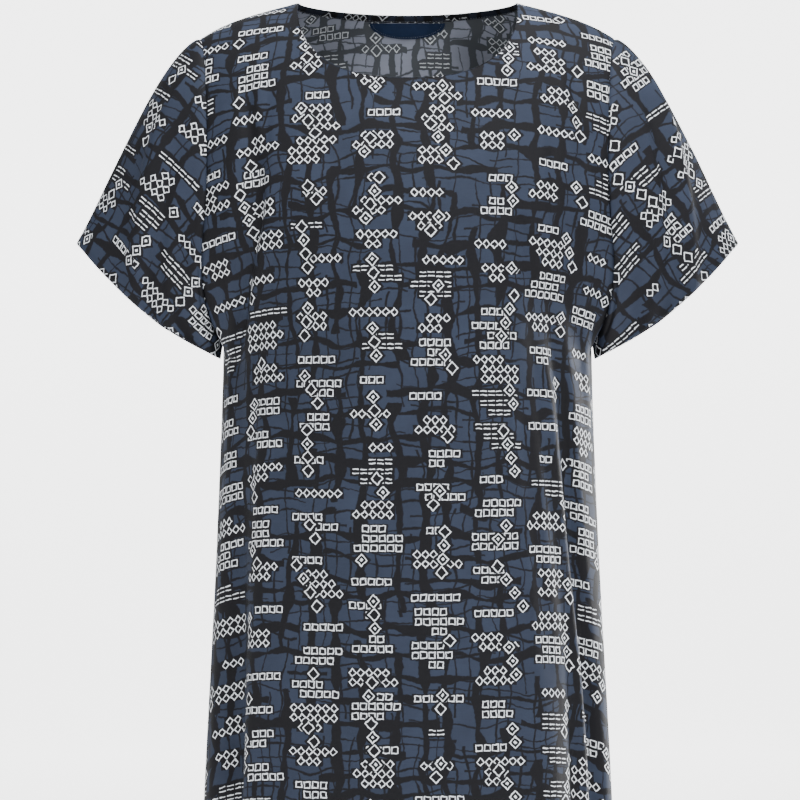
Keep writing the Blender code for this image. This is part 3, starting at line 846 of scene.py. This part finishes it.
def most(*readings):
    return reduce(lambda high, reading: high.maths("MAXIMUM", reading), readings)


def new_material(name):
    """A material with no nodes yet."""
    material = bpy.data.materials.new(name)
    material.use_nodes = True
    material.node_tree.nodes.clear()
    return material


def finished_material(material, inputs):
    """Ends a material in its shader, whose inputs are given by name."""
    shader = add_node(material.node_tree, "ShaderNodeBsdfPrincipled", inputs)
    add_node(material.node_tree, "ShaderNodeOutputMaterial", {"Surface": shader})
    return material


def cloth_place(tree):
    """Millimetres across and up the cloth."""
    place = add_node(tree, "ShaderNodeUVMap", uv_map=CLOTH_UV)
    split = add_node(tree, "ShaderNodeSeparateXYZ", {0: place})
    return [Reading(tree, split.outputs[axis]) * 1000.0 for axis in "XY"]


def woven(material, colour, across, up, roughness, relief):
    """Ends a material as soft woven cloth: fine threads, slubs along the weft and a little sheen."""
    slub = (across * 0.085).cloud(up * 1.1, 4, detail=2.0)
    height = across.wave(WARP_PITCH) * up.wave(WEFT_PITCH) * 0.35 + slub
    inputs = {"Strength": relief, "Distance": THREAD_RELIEF, "Height": height}
    return finished_material(material, {
        "Base Color": slub.times_plus(0.16, 0.92).brighten(colour),
        "Roughness": roughness,
        "Specular IOR Level": 0.08,
        "Sheen Weight": 0.006,
        "Sheen Roughness": 0.35,
        "Normal": add_node(material.node_tree, "ShaderNodeBump", inputs),
    })


def check_lines(place, along, spacing, narrow, wide, missing, seed):
    """Uneven lines of a broken check. Place runs across the lines and along runs with them."""
    waver = (place * 0.012).cloud(along * 0.017, seed)
    bent = place + (waver - 0.5) * LINE_WAVER
    number = bent.count(spacing)
    luck = number.chance(3.0, seed)
    centre = (number + luck.times_plus(0.4, 0.3)) * spacing
    stretch = (along * (1.0 / LINE_STRETCH) + luck * 7.0).maths("FLOOR")
    drawn = number.chance(stretch, seed + 11).above(missing)
    swelling = (along * 0.04).cloud(number + 0.5, seed + 2).maths("POWER", 2.0)
    return abs(bent - centre).within(swelling.times_plus(wide, narrow), 0.5) * drawn


def motif_blocks(across, up, size, seed):
    """Blocks of one to three staggered rows of small open motifs, half a block lower in every other column.

    Gives the light outlines and the dark cloth beneath them.
    """
    cell_width, cell_height, pitch = 7.3 * size, 4.0 * size, 1.16 * size
    column = across.count(cell_width)
    drop = column.maths("MODULO", 2.0) + column.chance(5.0, seed) * 0.5
    moved = up + drop * (0.5 * cell_height)
    row = moved.count(cell_height)
    in_row = moved - row * cell_height
    in_column = across - column * cell_width - column.chance(row, seed + 1) * (0.9 * size)

    line = in_row.count(pitch)
    in_lines = (column.chance(row, seed + 2) * 2.6).maths("CEIL").above(line)
    draw = row * 4.0 + line
    first = (column.chance(draw, seed + 3) * 2.7).maths("FLOOR")
    last = 6.0 - (column.chance(draw, seed + 4) * 2.7).maths("FLOOR")
    number = in_column.count(size)
    there = number.above(first - 0.5) * (last - 0.5).above(number) * in_lines

    side = abs(in_column - (number + 0.5) * size)
    height = abs(in_row - (line + 0.5) * pitch)
    lozenge = (side + height * 0.92).line_at(0.43 * size, 0.076 * size)
    square = most(side, height).line_at(0.35 * size, 0.060 * size)
    bars = height.line_at(0.24 * size, 0.06 * size) * side.within(0.40 * size)
    kind = column.chance(row, seed + 5)
    small = kind.above(0.46).times_plus(square - lozenge, lozenge)
    small = kind.above(0.85).times_plus(bars - small, small)

    past = most(first * size - in_column, in_column - last * size)
    return small * there, past.within(0.2 * size, 0.4) * in_lines


def motif_steps(across, up, size, seed):
    """Larger open motifs that climb sideways in steps, some with a solid centre."""
    cell_width, step = 8.3 * size, 1.62 * size
    cell_height = 5.0 * step
    column = across.count(cell_width)
    moved = up + column.chance(2.0, seed) * cell_height
    row = moved.count(cell_height)
    in_row = moved - row * cell_height
    number = in_row.count(step)
    lean = (column.chance(row, seed + 1) - 0.5) * (2.2 * size)
    place = (number - 1.5) * lean + 0.5 * cell_width
    side = abs(across - column * cell_width - place)
    height = abs(in_row - (number + 0.5) * step)

    drawn = column.chance(row, seed + 2).times_plus(3.4, 0.2).above(number)
    lozenge = side * 1.05 + height
    centre = lozenge.within(0.22 * size) * number.chance(column, seed + 4).above(0.5)
    light = most(lozenge.line_at(0.72 * size, 0.095 * size), centre)
    return light * drawn, lozenge.within(1.25 * size, 0.5) * drawn


def printed_cloth(name, ground, dark, light, roughness, relief):
    """Cloth with an uneven dark check over its ground, and blocks and steps of light motifs."""
    material = new_material(name)
    flat_across, flat_up = cloth_place(material.node_tree)
    fuzz = [(flat_across * 0.22).cloud(flat_up * 0.22, number) for number in (1, 2)]
    across = flat_across + (fuzz[0] - 0.5) * EDGE_FUZZ
    up = flat_up + (fuzz[1] - 0.5) * EDGE_FUZZ

    sizes = bpy.context.scene.dress_print
    seed, spacing, size = sizes.seed, sizes.line_spacing, sizes.motif_size
    lines = [
        check_lines(across, up, spacing, 0.7, 13.0, 0.16, seed),
        check_lines(up, across, 0.85 * spacing, 0.6, 10.0, 0.20, seed + 20),
        check_lines(across, up, 0.47 * spacing, 0.4, 2.2, 0.34, seed + 30),
        check_lines(up, across, 0.39 * spacing, 0.4, 1.8, 0.38, seed + 35),
    ]
    block_light, block_dark = motif_blocks(across, up, size, seed + 40)
    step_light, step_dark = motif_steps(across, up, size, seed + 60)

    depth = (flat_across * 0.02).cloud(flat_up * 0.02, 9, detail=3.0)
    colour = most(*lines, block_dark, step_dark).blend(depth.times_plus(0.6, 0.7).brighten(ground), dark)
    colour = most(block_light * (1.0 - step_dark), step_light).blend(colour, light)
    return woven(material, colour, flat_across, flat_up, roughness, relief)


def plain_cloth(name, colour, roughness, relief):
    material = new_material(name)
    across, up = cloth_place(material.node_tree)
    worn = (across * 0.15).cloud(up * 0.15, 6, detail=3.0)
    return woven(material, worn.times_plus(0.6, 0.7).brighten(colour), across, up, roughness, relief)


def twisted_thread(name, colour):
    """Sewing thread with its ply."""
    material = new_material(name)
    tree = material.node_tree
    place = add_node(tree, "ShaderNodeTexCoord")
    split = add_node(tree, "ShaderNodeSeparateXYZ", {0: place.outputs["Object"]})
    x, y, z = (Reading(tree, socket) for socket in split.outputs)
    tone = (x + y + z).wave(THREAD_PLY).times_plus(0.25, 1.0).brighten(colour)
    return finished_material(material, {"Base Color": tone, "Roughness": 0.5, "Sheen Weight": 0.3})


def finish(name):
    """One of the dress's materials, made when it is first asked for."""
    if name in bpy.data.materials:
        return bpy.data.materials[name]
    colours = bpy.context.scene.dress_print
    outside = (colours.ground, colours.dark, colours.light)
    inside = (colours.inside_ground, colours.inside_dark, colours.inside_light)
    # The facing's and the allowances' material is the outside print darkened, a painted shade for cloth that
    # lies in the dress's shadow.
    print_in_painted_shade = [[PAINTED_SHADE_SHARE * part for part in shade] for shade in outside]
    recipes = {
        "printed_outside": (printed_cloth, *outside, 0.72, 0.6),
        "printed_inside": (printed_cloth, *inside, 0.72, 0.9),
        "printed_facing": (printed_cloth, *print_in_painted_shade, 0.75, 0.6),
        "navy_cloth": (plain_cloth, colours.navy, 0.62, 0.8),
        "thread": (twisted_thread, colours.thread),
    }
    recipe, *values = recipes[name]
    return recipe(name, *values)


# Stitches.


def stitch_tree():
    """Geometry Nodes that lay a stitch at every step along the object's edges."""
    if "stitch_row" in bpy.data.node_groups:
        return bpy.data.node_groups["stitch_row"]
    tree = bpy.data.node_groups.new("stitch_row", "GeometryNodeTree")
    kinds = {"Geometry": "Geometry", "Stitch Length": "Float", "Stitch Gap": "Float",
             "Thread Thickness": "Float", "Material": "Material"}
    for name, kind in kinds.items():
        tree.interface.new_socket(name, in_out="INPUT", socket_type="NodeSocket" + kind)
    tree.interface.new_socket("Geometry", in_out="OUTPUT", socket_type="NodeSocketGeometry")
    given = add_node(tree, "NodeGroupInput").outputs
    length, thickness = given["Stitch Length"], given["Thread Thickness"]

    path = add_node(tree, "GeometryNodeMeshToCurve", {0: given["Geometry"]})
    step = add_node(tree, "ShaderNodeMath", {0: length, 1: given["Stitch Gap"]}, operation="ADD")
    spaced = add_node(tree, "GeometryNodeResampleCurve", {"Curve": path, "Length": step}, mode="LENGTH")
    tangent = add_node(tree, "GeometryNodeInputTangent")
    turn = add_node(tree, "FunctionNodeAlignRotationToVector", {"Vector": tangent}, axis="X")
    bead = add_node(tree, "GeometryNodeMeshUVSphere", {"Segments": 6, "Rings": 4, "Radius": 0.5})
    size = add_node(tree, "ShaderNodeCombineXYZ", {"X": length, "Y": thickness, "Z": thickness})
    inputs = {"Points": spaced, "Instance": bead, "Rotation": turn, "Scale": size}
    placed = add_node(tree, "GeometryNodeInstanceOnPoints", inputs)
    real = add_node(tree, "GeometryNodeRealizeInstances", {0: placed})
    inputs = {"Geometry": real, "Material": given["Material"]}
    add_node(tree, "NodeGroupOutput", {0: add_node(tree, "GeometryNodeSetMaterial", inputs)})
    return tree


def stitches(name, paths, sizes, length=None):
    """One object of stitches along open or closed paths of points."""
    verts, edges = [], []
    for path, closed in paths:
        first = len(verts)
        verts += [tuple(point) for point in path]
        edges += [(first + n, first + n + 1) for n in range(len(path) - 1)]
        if closed:
            edges.append((first + len(path) - 1, first))
    mesh = bpy.data.meshes.new(name)
    mesh.from_pydata(verts, edges, [])
    obj = link(name, mesh)
    row = obj.modifiers.new("stitch_row", "NODES")
    row.node_group = stitch_tree()
    values = {
        "Stitch Length": length or sizes.stitch_length,
        "Stitch Gap": sizes.stitch_gap,
        "Thread Thickness": sizes.thread_thickness,
        "Material": finish("thread"),
    }
    for socket in row.node_group.interface.items_tree:
        if socket.in_out == "INPUT" and socket.name in values:
            row[socket.identifier] = values[socket.name]
    settled(obj)
    if not obj.data.polygons:
        raise RuntimeError(f"{name} came out empty")
    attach(obj, "root")


# Operators: one for each piece or group of like pieces, and one for the stage.


def stand_in(piece, node):
    """Puts a finished piece of cloth in the place of its solid."""
    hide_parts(node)
    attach(piece, "root")


class DRESS_OT_panels(bpy.types.Operator):
    """Makes the front and back panels, with the neck cut and the skirt's hem turned up"""

    bl_idname = "dress.panels"
    bl_label = "Front and back"

    def execute(self, context):
        sizes = context.scene.dress_sizes
        first = HEM_ROWS + 1 + FOLD_ROWS
        middle = int(np.argmin(np.abs(panel_shares())))
        for side, name in ((FRONT, "front"), (BACK, "back")):
            points = finished_panel(side, sizes)
            normals = grid_normals(points, -side)
            points = with_turn_up(points, normals, sizes.skirt_turn_up, HEM_GAP * sizes.cloth_thickness, False)
            columns = points.shape[1]
            cloth = link("cloth_" + name, grid_mesh(name, points, side == BACK))
            low, high = (row * columns + middle for row in (first, first + SKIRT_ROWS))
            lay_flat(cloth, low, high, droop=sizes.side_droop)
            add_wall(cloth, sizes.cloth_thickness, "printed_outside")
            cutter = neck_cutter(side)
            cut = cloth.modifiers.new("neck", "BOOLEAN")
            cut.operation = "DIFFERENCE"
            cut.solver = "EXACT"
            cut.object = cutter
            settled(cloth)
            bpy.data.objects.remove(cutter)
            stand_in(cloth, name)
        return {"FINISHED"}


class DRESS_OT_sleeves(bpy.types.Operator):
    """Makes the two sleeves, with their hems turned up"""

    bl_idname = "dress.sleeves"
    bl_label = "Sleeves"

    def execute(self, context):
        sizes = context.scene.dress_sizes
        for hand, word in HANDS:
            name = "sleeve_" + word
            points = finished_sleeve(hand, sizes)
            normals = grid_normals(points, hand, closed=True)
            points = with_turn_up(points, normals, sizes.sleeve_turn_up, HEM_GAP * sizes.cloth_thickness, True)
            rows, columns = points.shape[:2]
            cloth = link("cloth_" + name, grid_mesh(name, points, hand < 0, closed=True))
            underarm = int(np.argmin(np.abs(sleeve_turns() - 180.0)))
            lay_flat(cloth, SLEEVE_ROWS * columns, 0, np.arange(rows) * columns + underarm)
            settled(add_wall(cloth, sizes.cloth_thickness, "printed_outside"))
            stand_in(cloth, name)
        return {"FINISHED"}


def neck_path(side):
    """Points along a neckline on its panel, with outward normals and directions away from the opening."""
    read = surface_reader(side)
    reach = NECK_HALF_WIDTH - NECK_TRIM
    points, normals = [], []
    for x, z in neck_curve(NECK_EDGES[side]).tolist():
        place, normal = read(min(max(x, -reach), reach), min(z, -NECK_TRIM))
        points.append((x, place[1], z))
        normals.append(normal)
    points, normals = np.array(points), unit(np.array(normals))
    for end, rest in ((0, 1), (-1, -2)):
        points[end] = (points[end, 0], 0.0, 0.0)
        normals[end] = unit(normals[rest] + np.array([0.0, 0.0, 1.0]))
    away = unit(np.cross(unit(np.gradient(points, axis=0)), normals))
    if away[len(away) // 2, 2] > 0:
        away = -away
    return points, normals, away


class DRESS_OT_neck_facing(bpy.types.Operator):
    """Makes the two strips that roll over the neckline and lie inside it"""

    bl_idname = "dress.neck_facing"
    bl_label = "Neck facing"

    def execute(self, context):
        sizes = context.scene.dress_sizes
        cloth = sizes.cloth_thickness
        inside = -(cloth + 0.0003)
        width = sizes.facing_width
        # Distance away from the opening, and height over the panel, along the strip's outer face.
        roll = (
            (0.0004, 0.00004),
            (0.0001, 0.00008),
            (-0.0003, 0.00005),
            (-0.0006, -0.45 * cloth),
            (-0.0003, inside - 0.45 * cloth),
            (0.0005, inside - 0.70 * cloth),
            (0.3 * width, inside - 0.75 * cloth),
            (0.8 * width, inside - 0.70 * cloth),
            (width, inside - 0.45 * cloth),
            (width + 0.0002, inside),
        )
        down = running_length(np.array(roll)[:, None], 0)[:, 0]
        lifted = inside - 0.75 * cloth - THREAD_SINK * sizes.thread_thickness
        paths = []
        for side, name in ((FRONT, "neck_facing_front"), (BACK, "neck_facing_back")):
            points, normals, away = neck_path(side)
            rows = np.array([points + away * out + normals * up for out, up in roll])
            run = running_length(points[None], 1)[0]
            uv = [np.stack([run, np.full(len(run), 0.3 - distance)], axis=-1) for distance in down]
            strip = link("strip_" + name, grid_mesh(name, rows, side == FRONT, uv))
            # The strip takes the darkened print, painted shade of the neck's inside.
            settled(add_wall(strip, 0.5 * cloth, "printed_facing"))
            stand_in(strip, name)
            paths.append((points + away * 0.85 * width + normals * lifted, False))
        stitches("stitches_neck", paths, sizes)
        return {"FINISHED"}


class DRESS_OT_neck_patch(bpy.types.Operator):
    """Makes the plain half-moon under the back facing"""

    bl_idname = "dress.neck_patch"
    bl_label = "Neck patch"

    def execute(self, context):
        sizes = context.scene.dress_sizes
        read = surface_reader(BACK)
        top = -(BACK_NECK_DROP + sizes.facing_width + PATCH_GAP)
        rows = []
        for ring in np.linspace(0.02, 1.0, PATCH_RINGS + 1):
            puff = 0.0003 * (1.0 - ring**6) - 0.0002 * math.exp(-(((ring - 0.9) / 0.03) ** 2))
            row = []
            for angle in np.linspace(0.0, math.pi, PATCH_STEPS + 1):
                x = ring * PATCH_HALF_WIDTH * math.cos(angle)
                z = top - ring * PATCH_HEIGHT * math.sin(angle)
                place, normal = read(x, z)
                row.append(place - unit(normal) * (sizes.cloth_thickness + 0.0006 + puff))
            rows.append(row)
        rows = np.array(rows)
        patch = link("patch", grid_mesh("patch", rows, False, rows[..., [0, 2]]))
        settled(add_wall(patch, 0.5 * sizes.cloth_thickness, "navy_cloth", None))
        stand_in(patch, "neck_patch")
        seam = rows[-2] + np.array([0.0, -0.00012, 0.0])
        stitches("stitches_patch", [(seam, False)], sizes, PATCH_STITCH)
        return {"FINISHED"}


def allowance_strip(name, grid, middle, sizes, closed=False):
    """The cloth inside a seam: a strip pressed to the start of a grid. Middle is a point inside the grid."""
    distances = np.array([0.0, 0.25, 0.5, 0.75, 0.96, 1.0]) * (SEAM_OVERLAP + sizes.allowance)
    drop = sizes.cloth_thickness + np.array([0.0003, 0.0004, 0.0005, 0.0006, 0.0005, 0.0003])
    surface = along_surface(grid, distances)
    normals = grid_normals(surface, 1, closed)
    outward = np.sum(normals * (surface - middle)) > 0
    if not outward:
        normals = -normals
    rows = surface - normals * drop[:, None, None]
    run = running_length(rows, 1)
    uv = np.stack([np.broadcast_to(distances[:, None], run.shape), run], axis=-1)
    strip = link(name, grid_mesh(name, rows, not outward, uv, closed))
    # The allowance takes the darkened print, painted shade inside the seam.
    settled(add_wall(strip, 0.5 * sizes.cloth_thickness, "printed_facing"))
    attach(strip, "root")
    sunk = 0.5 * sizes.cloth_thickness + THREAD_SINK * sizes.thread_thickness
    return rows[-2] - normals[-2] * sunk, closed


class DRESS_OT_seam_allowances(bpy.types.Operator):
    """Makes the pressed allowances inside the side, shoulder and armhole seams"""

    bl_idname = "dress.seam_allowances"
    bl_label = "Seam allowances"

    def execute(self, context):
        sizes = context.scene.dress_sizes
        front, back = finished_panel(FRONT, sizes), finished_panel(BACK, sizes)
        body = np.array([0.0, 0.0, -UNDERARM_DROP])
        share = panel_shares()
        skirt = slice(2, SKIRT_ROWS + 1)
        paths = []
        for hand, word in HANDS:
            grid = [front[skirt, ::-hand][:, SEAM_LEAD], back[skirt, ::-hand][:, :30]]
            grid = np.swapaxes(np.concatenate(grid, axis=1), 0, 1)
            paths.append(allowance_strip("side_allowance_" + word, grid, body, sizes))
        for hand, word in HANDS:
            kept = hand * share >= NECK_SHARE + 0.03
            grid = np.concatenate([front[::-1][SEAM_LEAD][:, kept], back[::-1][:20, kept]])
            paths.append(allowance_strip("shoulder_allowance_" + word, grid, body, sizes))
        for hand, word in HANDS:
            before = [armhole_loop(front, back, ARMHOLE_COLUMN[hand] - hand * step) for step in SEAM_LEAD]
            grid = np.concatenate([before, finished_sleeve(hand, sizes)])
            middle = bare_armhole(hand).mean(axis=0)
            paths.append(allowance_strip("armhole_allowance_" + word, grid, middle, sizes, True))
        stitches("stitches_allowances", paths, sizes, ALLOWANCE_STITCH)
        return {"FINISHED"}


class DRESS_OT_hem_stitches(bpy.types.Operator):
    """Sews the turned-up hems of the skirt and the sleeves, inside, near each turn-up's edge"""

    bl_idname = "dress.hem_stitches"
    bl_label = "Hem stitches"

    def execute(self, context):
        sizes = context.scene.dress_sizes
        depth = (HEM_GAP + 1.0) * sizes.cloth_thickness + THREAD_SINK * sizes.thread_thickness
        paths = []
        for side in (FRONT, BACK):
            points = finished_panel(side, sizes)
            row = along_surface(points[:8], [0.93 * sizes.skirt_turn_up])[0]
            paths.append((row - grid_normals(points, -side)[2] * depth, False))
        for hand, _ in HANDS:
            points = finished_sleeve(hand, sizes)
            row = along_surface(points[::-1][:12], [0.92 * sizes.sleeve_turn_up])[0]
            paths.append((row - grid_normals(points, hand, closed=True)[-3] * depth, True))
        stitches("stitches_hems", paths, sizes)
        return {"FINISHED"}


class DRESS_OT_stage(bpy.types.Operator):
    """Makes the pale floor and backdrop, the lights and the camera"""

    bl_idname = "dress.stage"
    bl_label = "Stage"

    def execute(self, context):
        stage = context.scene.dress_stage
        # Distance behind the dress, height over the floor and half width, from the front edge up the wall.
        profile = [(-WALL_PLACE, 0.0, FLOOR_REACH), (WALL_PLACE - 0.01, 0.0, FLOOR_REACH)]
        for angle in np.linspace(0.0, math.pi / 2, 17):
            along, up = WALL_PLACE + WALL_BEND * math.sin(angle), WALL_BEND * (1 - math.cos(angle))
            profile.append((along, up, WALL_REACH))
        profile.append((WALL_PLACE + WALL_BEND, WALL_PLACE, WALL_REACH))
        rows = np.array([[(x, y, z - LENGTH - FLOOR_GAP) for x in (-reach, reach)] for y, z, reach in profile])
        backdrop = link("backdrop", grid_mesh("backdrop", rows, False))
        backdrop.data.materials.append(finished_material(new_material("backdrop_paper"), {
            "Base Color": (*stage.backdrop, 1.0),
            "Roughness": 0.9,
            "Emission Color": (1.0, 1.0, 1.0, 1.0),
            "Emission Strength": 2.8,
        }))

        powers = {"key": stage.key_power, "fill": stage.fill_power}
        for light in LIGHTS:
            data = bpy.data.lights.new(light.name, "AREA")
            data.shape = "DISK"
            data.size = light.size
            data.energy = light.share * powers[light.power]
            lamp = link(light.name, data)
            lamp.location = light.place
            aim = Vector(light.aim) - Vector(light.place)
            lamp.rotation_euler = aim.to_track_quat("-Z", "Y").to_euler()

        world = bpy.data.worlds.new("studio")
        world.use_nodes = True
        background = world.node_tree.nodes["Background"]
        background.inputs["Color"].default_value = (1.0, 1.0, 1.0, 1.0)
        background.inputs["Strength"].default_value = SKY_STRENGTH
        context.scene.world = world

        data = bpy.data.cameras.new("camera")
        data.sensor_width = 36.0
        data.lens = data.sensor_width * stage.distance / stage.field
        camera = link("camera", data)
        camera.location = (CAMERA_SIDE, -stage.distance, CAMERA_HEIGHT)
        camera.rotation_euler = (math.pi / 2, 0.0, 0.0)
        context.scene.camera = camera
        return {"FINISHED"}


class DRESS_PT_panel(bpy.types.Panel):
    """Lists the steps that make the dress"""

    bl_idname = "DRESS_PT_panel"
    bl_label = "Maxi dress"
    bl_space_type = "VIEW_3D"
    bl_region_type = "UI"
    bl_category = "Dress"

    def draw(self, context):
        for step in STEPS:
            self.layout.operator(step.bl_idname)
        for name, group in GROUPS.items():
            box = self.layout.box()
            for size in group.__annotations__:
                box.prop(getattr(context.scene, name), size)


GROUPS = {"dress_sizes": DressSizes, "dress_print": DressPrint, "dress_stage": DressStage}
STEPS = (
    DRESS_OT_panels,
    DRESS_OT_sleeves,
    DRESS_OT_neck_facing,
    DRESS_OT_neck_patch,
    DRESS_OT_seam_allowances,
    DRESS_OT_hem_stitches,
    DRESS_OT_stage,
)
CLASSES = (*GROUPS.values(), *STEPS, DRESS_PT_panel)


def register():
    for cls in CLASSES:
        bpy.utils.register_class(cls)
    for name, group in GROUPS.items():
        setattr(bpy.types.Scene, name, PointerProperty(type=group))


def unregister():
    for name in GROUPS:
        delattr(bpy.types.Scene, name)
    for cls in reversed(CLASSES):
        bpy.utils.unregister_class(cls)


def main():
    register()
    bpy.ops.dress.panels()
    bpy.ops.dress.sleeves()
    bpy.ops.dress.neck_facing()
    bpy.ops.dress.neck_patch()
    bpy.ops.dress.seam_allowances()
    bpy.ops.dress.hem_stitches()
    bpy.ops.dress.stage()


if __name__ == "__main__":
    main()
